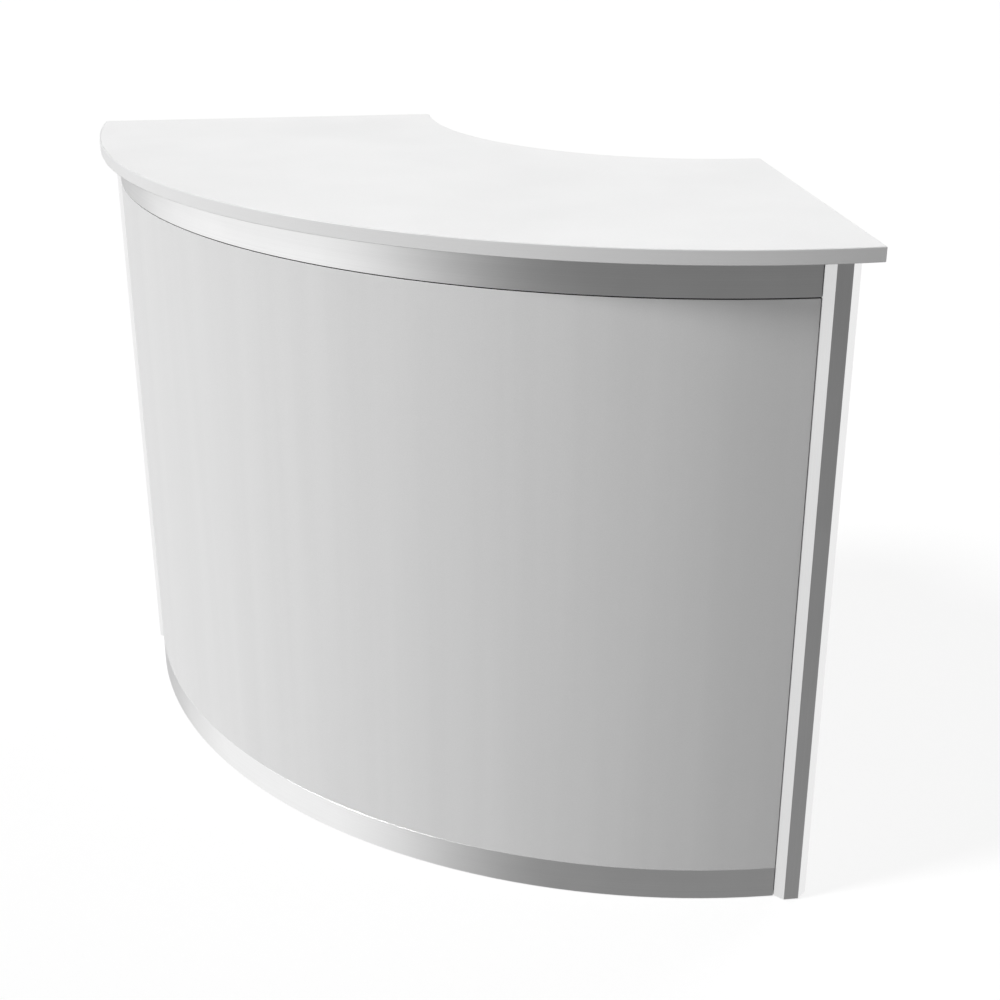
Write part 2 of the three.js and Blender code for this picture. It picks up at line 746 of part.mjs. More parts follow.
// Assembly about the centre of the front arc
const desk = new THREE.Group();
const plan = new THREE.Group();
plan.add(worktop);
for (const { side, word } of sides) {
  plan.add(endOfDesk(side, word));
  plan.add(doorOfDesk(side, word));
  plan.add(piece(`seal_front_${word}`, 'blackPlastic', frontSideSeal(side)));
}
const frontRailTopGroove = frontGroove(topRailFloor - overcut, topRailFloor + tongueHeight + fitGap);
const frontRailBottomGroove = frontGroove(tongueFloor - fitGap, bottomRailTop + overcut);
plan.add(piece('rail_front_top', 'aluminium',
  cut(curvedRail(0, frontLine, postRadius, topRailFloor), frontRailTopGroove)));
plan.add(piece('rail_front_bottom', 'aluminium',
  cut(curvedRail(0, frontLine, postRadius, glideLip), frontRailBottomGroove)));
plan.add(piece('rail_rear_top', 'aluminium',
  rearRail(topRailFloor, topRailFloor - overcut, topRailFloor + pinDepth + fitGap)));
plan.add(piece('rail_rear_bottom', 'aluminium',
  rearRail(glideLip, bottomRailTop - pinDepth - fitGap, bottomRailTop + overcut)));
plan.add(piece('panel_front', 'whitePanel', frontPanel()));
plan.add(piece('seal_front_top', 'blackPlastic', frontTopSeal()));
plan.add(piece('bottom_board', 'whiteBoard', bottomBoard()));
plan.add(piece('shelf', 'whiteBoard', shelfBoard()));
plan.add(piece('door_stop', 'aluminium', doorStop()));

// The rear corners of the worktop reach furthest back and the middle of the front furthest forward
const rearCornerReach = reachAtEnd(rearCentreShift, rearEdgeRadius, endEdge);
const rearReach = endRadial.y * rearCornerReach + endAcross.y * endEdge;
plan.position.y = (frontEdgeRadius - rearReach) / 2;
desk.add(plan);

export default desk;
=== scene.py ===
# %% [markdown]
# # A quarter-round reception desk
# The desk is a white worktop in the form of a quarter ring on a frame of aluminium extrusions, with a
# curved white panel in front, and a shelf behind two curved doors on the side where a person works. All
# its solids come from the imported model. Here they get their finishes, their fine rounded edges, the
# small fasteners, and a studio to stand in. All lengths are in metres, unless a comment says otherwise.

# %% Load the frame
import json
import math

import bmesh
import bpy
from mathutils import Matrix, Vector


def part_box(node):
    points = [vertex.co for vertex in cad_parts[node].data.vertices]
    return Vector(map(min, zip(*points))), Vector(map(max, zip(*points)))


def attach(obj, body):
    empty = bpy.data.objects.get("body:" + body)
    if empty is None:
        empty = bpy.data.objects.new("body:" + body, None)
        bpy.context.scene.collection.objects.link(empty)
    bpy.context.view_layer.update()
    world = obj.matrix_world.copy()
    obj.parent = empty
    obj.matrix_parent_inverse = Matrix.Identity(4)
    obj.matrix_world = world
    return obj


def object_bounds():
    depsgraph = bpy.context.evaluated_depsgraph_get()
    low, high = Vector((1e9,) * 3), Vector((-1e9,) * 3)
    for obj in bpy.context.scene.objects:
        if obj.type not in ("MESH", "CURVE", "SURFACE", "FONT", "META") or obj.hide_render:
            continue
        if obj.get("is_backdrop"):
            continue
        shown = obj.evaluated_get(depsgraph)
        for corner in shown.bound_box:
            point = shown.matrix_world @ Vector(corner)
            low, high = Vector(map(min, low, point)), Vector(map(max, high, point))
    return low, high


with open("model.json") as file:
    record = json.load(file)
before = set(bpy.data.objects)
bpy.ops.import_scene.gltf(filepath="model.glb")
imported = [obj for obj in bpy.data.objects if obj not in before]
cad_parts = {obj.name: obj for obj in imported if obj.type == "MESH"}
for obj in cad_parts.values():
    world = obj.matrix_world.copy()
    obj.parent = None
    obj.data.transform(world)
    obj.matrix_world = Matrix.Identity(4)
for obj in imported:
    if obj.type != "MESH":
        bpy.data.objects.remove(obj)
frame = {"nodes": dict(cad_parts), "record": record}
cad_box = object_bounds()
nodes = frame["nodes"]
print("loaded", len(nodes), "nodes; box:", [tuple(round(v, 3) for v in corner) for corner in cad_box])

# %% [markdown]
# The plan is drawn with two arcs: the front one bulges towards the visitor, and the hollow rear one has
# its centre a little further back. Finishes that follow the curve, and pieces on the doors, are placed
# from these centres. A circle could be fitted to the points of a rail, but the radius is a known size,
# so one sum from the front edge of the worktop gives the same.

# %% The two arc centres
front_radius = 0.997
rear_shift = 0.065

front_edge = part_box("worktop_edging_front")[0].y
front_centre = Vector((0, front_edge + front_radius, 0))
rear_centre = front_centre + Vector((0, rear_shift, 0))
print("arc centres at y =", round(front_centre.y, 4), "and", round(rear_centre.y, 4))

# %% [markdown]
# A shader is a graph of nodes, and long sums are hard to read when each node is added by hand. So one
# small class wraps an output socket. Adding or multiplying two such signals adds the Math node, and
# `1 - mask` works because the reflected operators are there too. Every other node comes from one
# method, `add`.

# %% Shader sums as Python


class Signal:
    """One output socket of a shader tree, for use in sums."""

    def __init__(self, tree, socket=None):
        self.tree = tree
        self.socket = socket

    def add(self, kind, settings, sockets, output=0):
        """Adds a node to the tree: first its settings, then a value or a link for each socket."""
        node = self.tree.nodes.new(kind)
        for name, value in settings.items():
            setattr(node, name, value)
        for name, value in sockets.items():
            if isinstance(value, Signal):
                self.tree.links.new(value.socket, node.inputs[name])
            else:
                node.inputs[name].default_value = value
        return Signal(self.tree, node.outputs[output] if node.outputs else None)

    def math(self, operation, first, second):
        return self.add("ShaderNodeMath", {"operation": operation}, {0: first, 1: second})

    def __add__(self, other):
        return self.math("ADD", self, other)

    def __radd__(self, other):
        return self.math("ADD", other, self)

    def __sub__(self, other):
        return self.math("SUBTRACT", self, other)

    def __rsub__(self, other):
        return self.math("SUBTRACT", other, self)

    def __mul__(self, other):
        return self.math("MULTIPLY", self, other)

    def __rmul__(self, other):
        return self.math("MULTIPLY", other, self)

    def vector(self, operation, other, output=0):
        """The same for vectors, which a Math node would turn into one number."""
        return self.add("ShaderNodeVectorMath", {"operation": operation}, {0: self, 1: other}, output)

    def step(self, low, high):
        """0 up to low, 1 from high on, and a soft rise between them."""
        sockets = {"Value": self, "From Min": low, "From Max": high}
        return self.add("ShaderNodeMapRange", {"interpolation_type": "SMOOTHSTEP"}, sockets)

    def tint(self, low, high):
        """A colour that goes from low to high as the signal goes from 0 to 1."""
        return self.add("ShaderNodeMix", {"data_type": "RGBA"}, {0: self, 6: low, 7: high}, 2)

    def rays(self, kind):
        """1 where the surface is looked at by rays of this kind, else 0."""
        return self.add("ShaderNodeLightPath", {}, {}, f"Is {kind} Ray")


def empty_tree(owner):
    """An empty shader tree on a material or a world, ready for its first node."""
    owner.use_nodes = True
    owner.node_tree.nodes.clear()
    return Signal(owner.node_tree)


def grey(level):
    return (level, level, level, 1)


print("shader helpers ready")

# %% [markdown]
# The camera stands to the right of the desk's front and above it. Its place was solved from the edges
# in the photograph, so only the direction, the distance and the lens are written here. A constraint
# that tracks an empty would do the same, but turning the camera along its direction leaves nothing
# extra in the scene.

# %% Camera
view_azimuth = math.radians(37.54)
view_elevation = math.radians(23.08)
view_distance = 2.517
view_target = Vector((0.1383, -0.04, 0.5))
lens_mm = 57.2
sensor_mm = 36


def direction(azimuth, elevation):
    """A unit vector from the desk: azimuth 0 is straight in front, and grows to the right."""
    flat = math.cos(elevation)
    return Vector((math.sin(azimuth) * flat, -math.cos(azimuth) * flat, math.sin(elevation)))


def put(thing):
    """Links a new object into the scene and gives it back."""
    bpy.context.scene.collection.objects.link(thing)
    return thing


camera_data = bpy.data.cameras.new("camera")
camera_data.lens = lens_mm
camera_data.sensor_width = sensor_mm
camera = put(bpy.data.objects.new("camera", camera_data))
toward_camera = direction(view_azimuth, view_elevation)
camera.location = view_target + view_distance * toward_camera
camera.rotation_euler = toward_camera.to_track_quat("Z", "Y").to_euler()
bpy.context.scene.camera = camera
print("camera at", [round(v, 3) for v in camera.location])

# %% [markdown]
# The studio is a soft grey room. Grey metal takes its look from what it mirrors, so for reflections the
# room is bright to the left and dim in front and to the right, as with a dark screen beside the camera,
# which is a little lighter high up and low down. It is half dim again opposite the screen and behind
# the desk, as with grey walls. A picture of a real studio wrapped round the desk would do the same, but
# soft steps over the direction need no file. To the camera itself, the room is white.

# %% Studio room
room_level = 0.266
screen_azimuth = math.radians(47)
screen_core = math.cos(math.radians(32))
screen_edge = math.cos(math.radians(83))
screen_level = 0.132
screen_rise = 0.21
wall_level = 0.45
opposite_edge = math.cos(math.radians(54))
rear_azimuth = math.radians(200)
rear_core = math.cos(math.radians(20))
rear_edge = math.cos(math.radians(36))
rear_share = 0.8

bpy.context.scene.view_settings.view_transform = "Standard"
world = bpy.data.worlds.new("studio_room")
room = empty_tree(world)
way = room.add("ShaderNodeTexCoord", {}, {}, "Generated")
flat_way = way.vector("MULTIPLY", (1, 1, 0)).vector("NORMALIZE", (0, 0, 0))
tilt = room.math("ABSOLUTE", way.vector("DOT_PRODUCT", (0, 0, 1), "Value"), 0)


def toward(azimuth):
    """1 in this direction, 0 a quarter turn from it and -1 on the other side."""
    return flat_way.vector("DOT_PRODUCT", direction(azimuth, 0), "Value")


screen = toward(screen_azimuth).step(screen_edge, screen_core)
opposite_wall = toward(screen_azimuth + math.pi).step(opposite_edge, 1)
rear_wall = rear_share * toward(rear_azimuth).step(rear_edge, rear_core)
walls = room.math("MAXIMUM", opposite_wall, rear_wall)
mirrored = 1 - (1 - screen_level - screen_rise * tilt) * screen - (1 - wall_level) * walls
room_light = room_level + room.rays("Glossy") * (mirrored - room_level)
seen_light = room_light + (room.rays("Camera") + room.rays("Transmission")) * (1 - room_light)
sky = room.add("ShaderNodeBackground", {}, {"Color": seen_light, "Strength": 1})
room.add("ShaderNodeOutputWorld", {}, {"Surface": sky})
bpy.context.scene.world = world
print("room level", room_level)

# %% [markdown]
# The floor is one large plane. To the camera it is white and still takes the desk's shadow: part of it
# glows at strength 1 and the rest is a white matt surface under the lamps. Light that bounces off it is
# weaker, so that the desk isn't lit from below. A shadow catcher would keep the shadow too, but it
# leaves the picture without a floor.

# %% Floor
floor_reach = 60
floor_drop = 0.0002
floor_bounce = 0.35
glow_share = 0.82

corners = [(-1, -1), (1, -1), (1, 1), (-1, 1)]
floor_points = [(x * floor_reach, y * floor_reach, -floor_drop) for x, y in corners]
floor_mesh = bpy.data.meshes.new("floor")
floor_mesh.from_pydata(floor_points, [], [(0, 1, 2, 3)])
floor = put(bpy.data.objects.new("floor", floor_mesh))
floor.visible_glossy = False
floor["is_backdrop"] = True

floor_finish = bpy.data.materials.new("pale_floor")
paving = empty_tree(floor_finish)
seen = paving.rays("Camera") + paving.rays("Transmission")
matt = paving.add("ShaderNodeBsdfDiffuse", {}, {"Color": seen.tint(grey(floor_bounce), grey(1))})
glow = paving.add("ShaderNodeEmission", {}, {"Color": grey(1), "Strength": 1})
surface = paving.add("ShaderNodeMixShader", {}, {0: glow_share * seen, 1: matt, 2: glow})
paving.add("ShaderNodeOutputMaterial", {}, {"Surface": surface})
floor_mesh.materials.append(floor_finish)
print("floor", 2 * floor_reach, "m wide")

# %% [markdown]
# Three soft lamps light the desk at a plain level: one overhead, one on the left that shades the curved
# front from bright to dim, and a low one behind for the doors and the ends. Shiny surfaces don't mirror
# the one behind, so that it leaves no glare on the worktop. Sun lamps with a wide angle are used
# instead of area lamps, because they don't fall off and so keep the floor evenly white.

# %% Lamps
lamp_distance = 4


def soft_lamp(name, azimuth, elevation, spread, level):
    """A lamp that would show a white surface turned to it at this level. Its angles are in degrees."""
    lamp = bpy.data.lights.new(name, "SUN")
    lamp.energy = level * math.pi
    lamp.angle = math.radians(spread)
    holder = put(bpy.data.objects.new(name, lamp))
    toward_lamp = direction(math.radians(azimuth), math.radians(elevation))
    holder.rotation_euler = toward_lamp.to_track_quat("Z", "Y").to_euler()
    holder.location = lamp_distance * toward_lamp
    print("lamp", name, "level", level)
    return holder


soft_lamp("overhead_lamp", azimuth=0, elevation=88, spread=90, level=0.105)
soft_lamp("left_lamp", azimuth=-35.5, elevation=40, spread=12, level=0.81)
rear_lamp = soft_lamp("rear_lamp", azimuth=180, elevation=12, spread=40, level=0.8)
rear_lamp.visible_glossy = False

# %% [markdown]
# Each solid arrives as loose triangles with hard corners. Four modifiers clean that up: a small node
# group welds the points and marks which edges stay sharp, a dissolve joins the triangles of a flat
# face, a bevel rounds each sharp edge a little, as on the real boards and extrusions, so that it
# catches the light, and weighted normals keep flat faces flat in the shading. The same could be done
# once to the mesh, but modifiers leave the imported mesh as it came.

# %% Rounded edges
sharp_angle = math.radians(28)
flat_angle = math.radians(0.3)
weld_distance = 0.00001
bevel_segments = 2
edge_radius = {
    "white_board": 0.0008,
    "white_panel": 0.0006,
    "aluminium": 0.0005,
    "steel": 0.0003,
    "black_plastic": 0.00012,
}
narrow_radius = 0.00014


def shade(start, solid, domain, smooth, **chosen):
    sockets = {"Geometry": solid, "Shade Smooth": smooth, **chosen}
    return start.add("GeometryNodeSetShadeSmooth", {"domain": domain}, sockets)


def weld_group():
    """A node group that welds a solid's points and shades it smooth, except across its sharp edges."""
    tree = bpy.data.node_groups.new("weld_and_mark_sharp", "GeometryNodeTree")
    tree.interface.new_socket("Geometry", in_out="INPUT", socket_type="NodeSocketGeometry")
    tree.interface.new_socket("Geometry", in_out="OUTPUT", socket_type="NodeSocketGeometry")
    start = Signal(tree)
    solid = start.add("NodeGroupInput", {}, {})
    solid = start.add("GeometryNodeMergeByDistance", {}, {"Geometry": solid, "Distance": weld_distance})
    solid = start.add("GeometryNodeRemoveAttribute", {}, {"Geometry": solid, "Name": "custom_normal"})
    solid = shade(start, solid, "FACE", True)
    angle = start.add("GeometryNodeInputMeshEdgeAngle", {}, {}, "Unsigned Angle")
    compared = {"A": angle, "B": sharp_angle}
    sharp = start.add("FunctionNodeCompare", {"operation": "GREATER_THAN"}, compared)
    solid = shade(start, solid, "EDGE", False, Selection=sharp)
    start.add("NodeGroupOutput", {}, {"Geometry": solid})
    return tree


def round_edges(thing, weld, width):
    thing.modifiers.new("weld", "NODES").node_group = weld
    dissolve = thing.modifiers.new("dissolve", "DECIMATE")
    dissolve.decimate_type = "DISSOLVE"
    dissolve.angle_limit = flat_angle
    bevel = thing.modifiers.new("bevel", "BEVEL")
    bevel.width = width
    bevel.segments = bevel_segments
    bevel.limit_method = "ANGLE"
    bevel.angle_limit = sharp_angle
    bevel.harden_normals = False
    normals = thing.modifiers.new("flat_faces", "WEIGHTED_NORMAL")
    normals.keep_sharp = True


slot_of = {name: node.material_slots[0].material.name for name, node in nodes.items()}


def radius_for(name):
    """The straight rails end in narrow facets at the uprights, which leave room for less rounding."""
    if name.startswith(("rail_top", "rail_bottom")):
        return narrow_radius
    return edge_radius[slot_of[name]]


weld = weld_group()
for name, node in nodes.items():
    round_edges(node, weld, radius_for(name))
print("rounded the edges of", len(nodes), "nodes")

# %% [markdown]
# All finishes share one way of ending: a Principled shader with a colour, a roughness and a fine bump.
# One helper starts a finish and gives the places on the surface, another builds that end. A third gives
# clouds of noise of a stated size, which a finish with a direction stretches. A fourth finds the
# arrises, where hands and cloths rub: there, a rounded normal leaves the face's own. Painted masks
# could mark them too, but these follow any shape.

# %% Finish helpers
fine_detail = 3.0
noise_gain = 0.55
edge_samples = 4


def new_finish(name):
    """A new material with an empty tree, and the places on the surface."""
    material = bpy.data.materials.new(name)
    return material, empty_tree(material).add("ShaderNodeTexCoord", {}, {}, "Object")


def clouds(place, size, detail=2.0):
    """Noise from 0 to 1 whose features are about this size."""
    sockets = {"Vector": place, "Scale": 1 / size, "Detail": detail, "Roughness": noise_gain}
    return place.add("ShaderNodeTexNoise", {}, sockets, "Fac")


def worn_edge(place, reach):
    """1 on the arris itself, falling to 0 within this reach."""
    rounded = place.add("ShaderNodeBevel", {"samples": edge_samples}, {"Radius": reach})
    true = place.add("ShaderNodeNewGeometry", {}, {}, "Normal")
    return 1 - rounded.vector("DOT_PRODUCT", true, "Value")


def finish(material, color, roughness, relief, relief_height, **plain):
    """Ends a finish: colour, roughness and bump vary over the surface, the plain values don't."""
    start = Signal(material.node_tree)
    bump = start.add("ShaderNodeBump", {}, {"Height": relief, "Distance": relief_height, "Strength": 1})
    sockets = {"Base Color": color, "Roughness": roughness, "Normal": bump, **plain}
    shader = start.add("ShaderNodeBsdfPrincipled", {}, sockets)
    start.add("ShaderNodeOutputMaterial", {}, {"Surface": shader})
    print("finish", material.name)
    return material


print("finish helpers ready")

# %% [markdown]
# The worktop, the shelf and the cupboard floor are chipboard faced with white melamine: a pressed paper
# with a fine pearl texture, which scatters light softly. Two sizes of noise give the pearl and a barely
# visible cloudiness. Wiping has left long faint streaks in the gloss, and handling has polished the
# arrises a little. A scanned picture would show the same, but noise needs no file and never repeats.

# %% White melamine board
board_shades = (grey(0.84), grey(0.89))
board_roughness = 0.36
board_cloud = 0.22
pearl_size = 0.0022
pearl_height = 0.00028
streak_width = 0.005
streak_squeeze = (0.04, 1, 1)
board_wear = 0.002


def melamine_board():
    material, place = new_finish("melamine_board")
    pearl = clouds(place, pearl_size)
    cloud = clouds(place, board_cloud)
    streaks = clouds(place.vector("MULTIPLY", streak_squeeze), streak_width)
    edge = worn_edge(place, board_wear)
    color = (0.6 * cloud + 0.4 * pearl).step(0.25, 0.75).tint(*board_shades)
    roughness = board_roughness + 0.1 * cloud + 0.12 * pearl + 0.12 * streaks - 0.2 * edge
    return finish(material, color, roughness, pearl, pearl_height)


board_finish = melamine_board()

# %% [markdown]
# The narrow edges of the worktop are closed with plastic edging, glued on in long strips. It is a shade
# greyer than the board, and the strip keeps fine lines along its length from the extruder. The lines
# could follow each edge by its own direction, but squeezing both level directions of the noise does for
# straight and curved edges alike.

# %% White edging
edging_shades = (grey(0.81), grey(0.835))
edging_roughness = 0.4
edging_cloud = 0.15
edging_line = 0.0009
edging_line_height = 0.00003
edging_squeeze = (0.004, 0.004, 1)
edging_wear = 0.0015


def plastic_edging():
    material, place = new_finish("plastic_edging")
    lines = clouds(place.vector("MULTIPLY", edging_squeeze), edging_line)
    cloud = clouds(place, edging_cloud)
    edge = worn_edge(place, edging_wear)
    color = (0.5 * lines + 0.5 * cloud).step(0.25, 0.8).tint(*edging_shades)
    roughness = edging_roughness + 0.12 * lines - 0.15 * edge
    return finish(material, color, roughness, lines, edging_line_height)


edging_finish = plastic_edging()

# %% [markdown]
# The front, the ends and the doors are thin laminate on a bendable core. The sheet is a little greyer
# than the worktop, with a very fine leather-like grain, and the press leaves faint upright bands across
# the curve. The bands are the same noise as the grain, only larger and drawn out in height.

# %% White laminate panel
panel_shades = (grey(0.76), grey(0.81))
panel_roughness = 0.44
grain_size = 0.0015
grain_height = 0.00014
band_width = 0.05
band_squeeze = (1, 1, 0.03)
panel_wear = 0.0015


def laminate_panel():
    material, place = new_finish("laminate_panel")
    grain = clouds(place, grain_size, fine_detail)
    bands = clouds(place.vector("MULTIPLY", band_squeeze), band_width)
    edge = worn_edge(place, panel_wear)
    color = (0.5 * bands + 0.5 * grain).step(0.25, 0.75).tint(*panel_shades)
    roughness = panel_roughness + 0.14 * grain + 0.08 * bands - 0.15 * edge
    return finish(material, color, roughness, grain, grain_height)


panel_finish = laminate_panel()

# %% [markdown]
# The frame is natural anodised aluminium. An extrusion has fine die lines along its length, so the
# noise is stretched along the run of each profile. A straight run is a direction; on a curved rail it
# is the angle about the arc centre, so there the place is first turned into angle, radius and height.
# The shader's own anisotropy would stretch the gloss too, but it shows no lines.

# %% Anodised aluminium
aluminium_shades = (grey(0.845), grey(0.925))
aluminium_roughness = 0.25
bloom_size = 0.09
line_pitch = 0.0009
line_length = 0.5
line_height = 0.00002
aluminium_wear = 0.0012
left_run = direction(math.radians(-45), 0)
right_run = direction(math.radians(45), 0)


def along_line(place, run):
    """Places on a straight profile: the run is stretched, the two other directions keep their size."""
    along = place.vector("DOT_PRODUCT", run, "Value")
    squeeze = 1 - line_pitch / line_length
    back = place.add("ShaderNodeVectorMath", {"operation": "SCALE"}, {0: run, "Scale": squeeze * along})
    return place.vector("SUBTRACT", back)


def along_arc(place, centre):
    """Places on a curved profile: length along the arc, radius and height."""
    place = place.vector("SUBTRACT", centre)
    parts = {axis: place.add("ShaderNodeSeparateXYZ", {}, {0: place}, axis) for axis in "XYZ"}
    radius = place.vector("MULTIPLY", (1, 1, 0)).vector("LENGTH", (0, 0, 0), "Value")
    angle = place.math("ARCTAN2", parts["X"], -1 * parts["Y"])
    sockets = {"X": angle * (line_pitch / line_length), "Y": radius, "Z": parts["Z"]}
    return place.add("ShaderNodeCombineXYZ", {}, sockets)


def anodised(name, along, run_or_centre):
    material, place = new_finish(name)
    lines = clouds(along(place, run_or_centre), line_pitch, fine_detail)
    bloom = clouds(place, bloom_size)
    edge = worn_edge(place, aluminium_wear)
    color = (0.6 * lines + 0.4 * bloom + 0.5 * edge).step(0.2, 0.9).tint(*aluminium_shades)
    roughness = aluminium_roughness + 0.08 * lines + 0.06 * bloom - 0.08 * edge
    return finish(material, color, roughness, lines, line_height, Metallic=1.0)


upright_finish = anodised("aluminium_upright", along_line, Vector((0, 0, 1)))
left_finish = anodised("aluminium_left_end", along_line, left_run)
right_finish = anodised("aluminium_right_end", along_line, right_run)
front_finish = anodised("aluminium_front_arc", along_arc, front_centre)
rear_finish = anodised("aluminium_rear_arc", along_arc, rear_centre)

# %% [markdown]
# Pegs, brackets, pivots and locks are nickel-plated steel: a darker grey than the extrusions, with
# small clouds where fingers and tools have dulled the plating, and faint upright scratches. One even
# gloss would look like chrome, so the clouds go into the roughness most of all.

# %% Nickel-plated steel
steel_shades = (grey(0.5), grey(0.62))
steel_roughness = 0.22
dull_size = 0.006
scratch_width = 0.0007
scratch_height = 0.00001
scratch_squeeze = (1, 1, 0.1)
steel_wear = 0.0008


def nickel_steel():
    material, place = new_finish("nickel_steel")
    dull = clouds(place, dull_size, fine_detail)
    scratch = clouds(place.vector("MULTIPLY", scratch_squeeze), scratch_width)
    edge = worn_edge(place, steel_wear)
    color = (dull + edge).step(0.3, 1.0).tint(*steel_shades)
    roughness = steel_roughness + 0.16 * dull + 0.05 * scratch
    return finish(material, color, roughness, scratch, scratch_height, Metallic=1.0)


steel_finish = nickel_steel()

# %% [markdown]
# Seals and glides are moulded black plastic, matt, with the grain of a spark-eroded mould and a little
# dust. Dust could be a layer of its own, but on such narrow pieces a change of grey is enough.

# %% Black plastic
# These greys are the black plastic of the seals and glides, and also the painted shade on the faces of
# the shallow key slots.
plastic_and_slot_shade_greys = (grey(0.018), grey(0.035))
plastic_roughness = 0.5
mould_grain = 0.0006
mould_grain_height = 0.00004
dust_size = 0.012
dust_detail = 4.0


def black_plastic():
    material, place = new_finish("black_plastic_and_slot_shade")
    grain = clouds(place, mould_grain)
    dust = clouds(place, dust_size, dust_detail)
    color = dust.step(0.35, 0.85).tint(*plastic_and_slot_shade_greys)
    roughness = plastic_roughness + 0.15 * grain + 0.1 * dust
    return finish(material, color, roughness, grain, mould_grain_height)


plastic_and_slot_shade_finish = black_plastic()

# %% [markdown]
# Now each node gets its finish. A list of all the nodes would be long and easy to get wrong. The packed
# model already says which slot a node belongs to, and for aluminium the name of the node says along
# which line it was extruded.

# %% Finishes on the nodes
plain_finish = {
    "white_board": board_finish,
    "white_panel": panel_finish,
    "steel": steel_finish,
    "black_plastic": plastic_and_slot_shade_finish,
}


def aluminium_for(name):
    if name.startswith("rail_front"):
        return front_finish
    if name.startswith(("rail_rear", "door_stop")):
        return rear_finish
    if name.startswith(("post", "door_pull")):
        return upright_finish
    return left_finish if name.endswith("left") else right_finish


def finish_for(name):
    if name.startswith("worktop_edging"):
        return edging_finish
    return plain_finish.get(slot_of[name]) or aluminium_for(name)


for name, node in nodes.items():
    node.material_slots[0].material = finish_for(name)
print("finished", len(nodes), "nodes")

# %% [markdown]
# Screws, nuts and key plugs are the smallest pieces. Each is a loft: outlines with the same number of
# points stand above each other and are joined by faces. A round outline makes a head, a hexagon its
# socket and a narrow rectangle the slot for a key. A boolean could cut a socket too, but on so small a
# piece it leaves untidy faces.

# %% Lofts
loft_points = 24
millimetre = 0.001
loft_turns = [2 * math.pi * i / loft_points for i in range(loft_points)]


def circle(turn):
    """Reach of a circle, which is the same in every direction."""
    return 1


def hexagon(turn):
    """Reach of a hexagon in this direction, 1 at its corners."""
    return math.cos(math.pi / 6) / math.cos(turn % (math.pi / 3) - math.pi / 6)


def rectangle(turn):
    """Reach of a square with half a side of 1, which the two half widths of a ring then stretch."""
    return 1 / max(abs(math.cos(turn)), abs(math.sin(turn)))


def ring_points(outline, half_x, half_y, height):
    """The points of one ring, in order round it."""
    for turn in loft_turns:
        reach = outline(turn)
        yield Vector((half_x * reach * math.cos(turn), half_y * reach * math.sin(turn), height))


def loft(name, rings):
    """A closed mesh through rings: each is an outline, two half widths and a height, in millimetres."""
    solid = bmesh.new()
    loops = []
    for ring in rings:
        loops.append([solid.verts.new(millimetre * point) for point in ring_points(*ring)])
    for lower, upper in zip(loops, loops[1:]):
        for i in range(loft_points):
            solid.faces.new((lower[i - 1], lower[i], upper[i], upper[i - 1]))
    solid.faces.new(loops[-1])
    solid.faces.new(reversed(loops[0]))
    for face in solid.faces:
        face.smooth = True
    mesh = bpy.data.meshes.new(name)
    solid.to_mesh(mesh)
    solid.free()
    mesh.set_sharp_from_angle(angle=sharp_angle)
    mesh.materials.append(steel_finish)
    return mesh


def even(outline, radius, height):
    """A ring that is as wide as it is deep."""
    return (outline, radius, radius, height)


print("lofts have", loft_points, "points round")

# %% [markdown]
# Three sizes of screw hold the brackets, the pulls and the pivots. Their heads differ only in width, so
# one profile, in shares of the head's radius, makes them all. Modelling each by hand would only repeat
# it.

# %% Screw heads
dome_profile = [(1, 0), (1, 0.1), (0.92, 0.3), (0.74, 0.48), (0.5, 0.57)]
socket_share = 0.36
socket_rim_share = 1.2
socket_mouth = 0.52
socket_floor = 0.2
bracket_screw_mm = 9.5
pull_screw_mm = 7.6
pivot_screw_mm = 5.4


def button_head(name, width):
    """A low domed screw head with a socket for a hexagon key."""
    radius = width / 2
    socket = socket_share * radius
    crown = dome_profile[-1][1]
    rings = [even(circle, share * radius, height * radius) for share, height in dome_profile]
    rings.append(even(circle, socket_rim_share * socket, crown * radius))
    rings.append(even(hexagon, socket, socket_mouth * radius))
    rings.append(even(hexagon, socket, socket_floor * radius))
    return loft(name, rings)


bracket_screw = button_head("bracket_screw", bracket_screw_mm)
pull_screw = button_head("pull_screw", pull_screw_mm)
pivot_screw = button_head("pivot_screw", pivot_screw_mm)
print("screw heads", bracket_screw_mm, pull_screw_mm, pivot_screw_mm, "mm wide")

# %% [markdown]
# In each lock, a nut on a threaded stud holds the cam, and a plug with a slot takes the key. Both are
# lofts with sizes of their own, in millimetres. The thread isn't cut, because no more than its end
# shows. A real key slot is deep and looks black from the shade inside it. This one is shallow, so its
# faces get the black plastic as painted shade, standing in for the depth it lacks.

# %% Cam nut and key plug
nut_corner = 4
nut_side = 1.9
nut_face = 3.4
nut_height = 2.3
stud_radius = 2
stud_side = 2.9
stud_tip = 1.7
stud_height = 3.2
plug_radius = 5.5
plug_side = 0.7
plug_face = 5.2
plug_height = 1
slot_half_width = 0.7
slot_half_length = 3.4
slot_floor = 0.15

cam_nut = loft("cam_nut", [
    even(hexagon, nut_corner, 0),
    even(hexagon, nut_corner, nut_side),
    even(circle, nut_face, nut_height),
    even(circle, stud_radius, nut_height),
    even(circle, stud_radius, stud_side),
    even(circle, stud_tip, stud_height),
])
key_plug = loft("key_plug", [
    even(circle, plug_radius, 0),
    even(circle, plug_radius, plug_side),
    even(circle, plug_face, plug_height),
    (rectangle, slot_half_width, slot_half_length, plug_height),
    (rectangle, slot_half_width, slot_half_length, slot_floor),
])
# A loft's last faces are its last sides, its far end and its foot. All but the foot line the slot.
painted_shade_slot_faces = list(key_plug.polygons)[-loft_points - 2:-1]
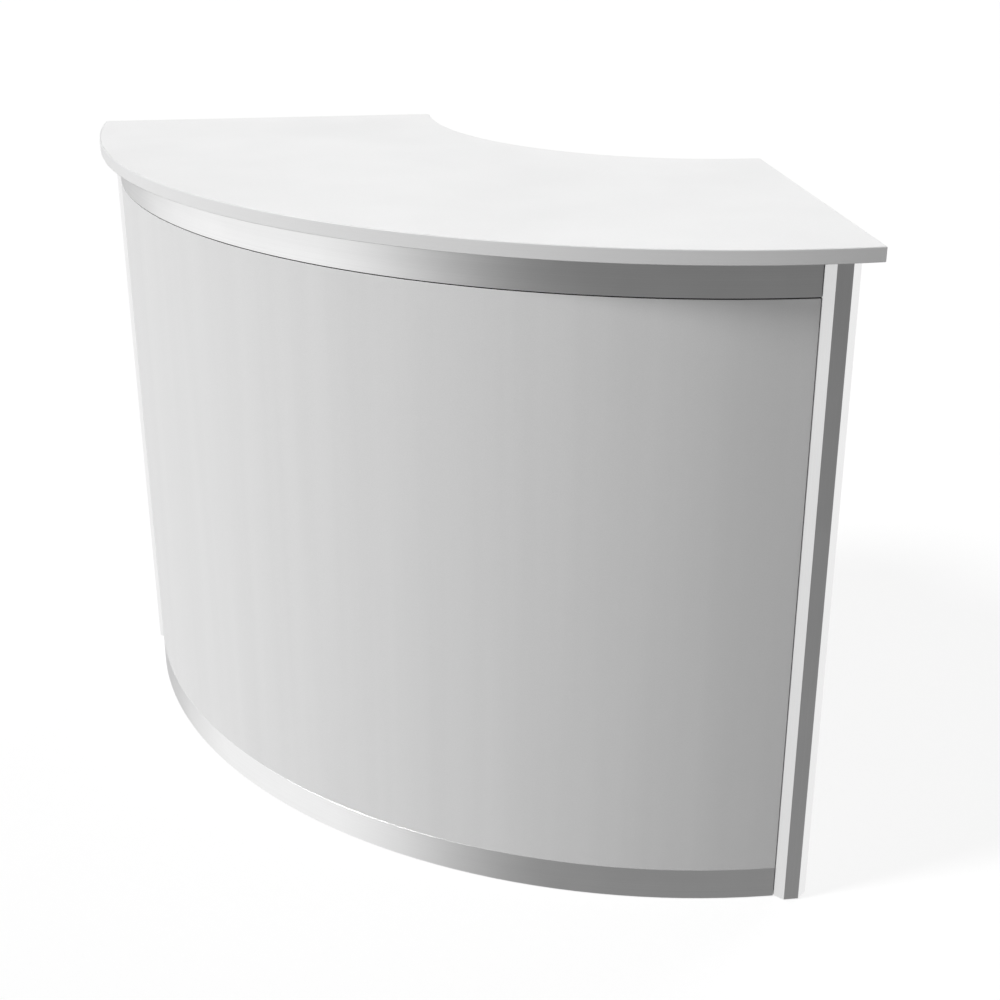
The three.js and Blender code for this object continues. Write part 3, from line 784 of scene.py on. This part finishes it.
# The black plastic on the slot's faces is painted shade, in place of the shade a deep slot would have.
key_plug.materials.append(plastic_and_slot_shade_finish)
for face in painted_shade_slot_faces:
    face.material_index = 1
print("cam nut", len(cam_nut.polygons), "faces; key plug", len(key_plug.polygons), "faces,",
      len(painted_shade_slot_faces), "of them black")

# %% [markdown]
# Each shelf bracket is an angle with one leg against its upright and the other under the shelf. A screw
# goes through each leg, from the side that a hand can reach. All eight share one mesh, and are placed
# from the boxes of their brackets, so that they stay on them if the shelf moves.

# %% Bracket screws
bracket_leg = 0.032
bracket_thickness = 0.003
# The two ends stand square to each other, so inward from one is the run of the other.
inward_of = {"left": right_run, "right": left_run}


def fasten(name, mesh, body, place, axis):
    """Sets a fastener with its foot here and its head along the axis, to move with the body."""
    piece = put(bpy.data.objects.new(name, mesh))
    facing = axis.to_track_quat("Z", "Y").to_matrix().to_4x4()
    piece.matrix_world = Matrix.Translation(place) @ facing
    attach(piece, body)


for side, inward in inward_of.items():
    for corner in ("front", "rear"):
        name = f"shelf_bracket_{corner}_{side}"
        low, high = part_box(name)
        middle = (low + high) / 2
        on_upright = middle - (bracket_leg / 2 - bracket_thickness) * inward
        on_upright.z = (low.z + high.z - bracket_thickness) / 2
        fasten(f"{name}_side_screw", bracket_screw, "frame", on_upright, inward)
        under_shelf = middle + bracket_thickness / 2 * inward
        under_shelf.z = high.z - bracket_thickness
        fasten(f"{name}_shelf_screw", bracket_screw, "frame", under_shelf, Vector((0, 0, -1)))
print("bracket screws set")

# %% [markdown]
# On a door, everything is placed along the radius from the centre of the rear arc. The joints of the
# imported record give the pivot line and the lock's axis. Screws sit on the inner side, where they can't
# be undone while the doors are locked, and the plug with the key slot turns with the cam.

# %% Door fasteners
half_door = 0.003
half_block = 0.006
block_half_height = 0.009
block_screw_insets = (0.0055, 0.013)
lock_face = 0.0063
cam_back = 0.0091
pull_radius = 0.004
joint_at = {joint["name"]: Vector(joint["pos_m"]) for joint in frame["record"]["behaviour"]["joints"]}


def radial_at(place):
    """The level direction from the centre of the rear arc, out through this place."""
    away = place - rear_centre
    return Vector((away.x, away.y, 0)).normalized()


def level_at(place, height):
    return Vector((place.x, place.y, height))


def pivot_screws(side, sign):
    """Two screws in each pivot block, side by side along the door."""
    pivot = joint_at[f"door_{side}_swing"]
    radial = radial_at(pivot)
    along_door = sign * Vector((radial.y, -radial.x, 0))
    block_middle = {
        "top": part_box(f"door_pivot_top_{side}")[0].z + block_half_height,
        "bottom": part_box(f"door_pivot_bottom_{side}")[1].z - block_half_height,
    }
    for level, height in block_middle.items():
        for number, inset in enumerate(block_screw_insets):
            place = level_at(pivot, height) + inset * along_door + half_block * radial
            name = f"door_pivot_{level}_{side}_screw_{number}"
            fasten(name, pivot_screw, f"leaf_{side}", place, radial)


def pull_and_lock(side):
    """The screws of the pull, which stands on the lock's radius, and the nut and plug of the lock."""
    lock = joint_at[f"lock_{side}_turn"]
    radial = radial_at(lock)
    pull_low, pull_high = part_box(f"door_pull_{side}")
    for number, height in enumerate((pull_low.z + pull_radius, pull_high.z - pull_radius)):
        place = level_at(lock, height) + half_door * radial
        fasten(f"door_pull_{side}_screw_{number}", pull_screw, f"leaf_{side}", place, radial)
    fasten(f"lock_cam_{side}_nut", cam_nut, f"cam_{side}", lock + cam_back * radial, radial)
    fasten(f"lock_plug_{side}", key_plug, f"cam_{side}", lock - lock_face * radial, -radial)


for side, sign in (("left", -1), ("right", 1)):
    pivot_screws(side, sign)
    pull_and_lock(side)
print("door fasteners set")

# %% [markdown]
# Last, the box of the finished desk is printed beside that of the CAD model.

# %% Size and end
boxes = {"cad": cad_box, "visual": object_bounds()}
{name: [list(corner) for corner in box] for name, box in boxes.items()}
print("boxes", boxes)
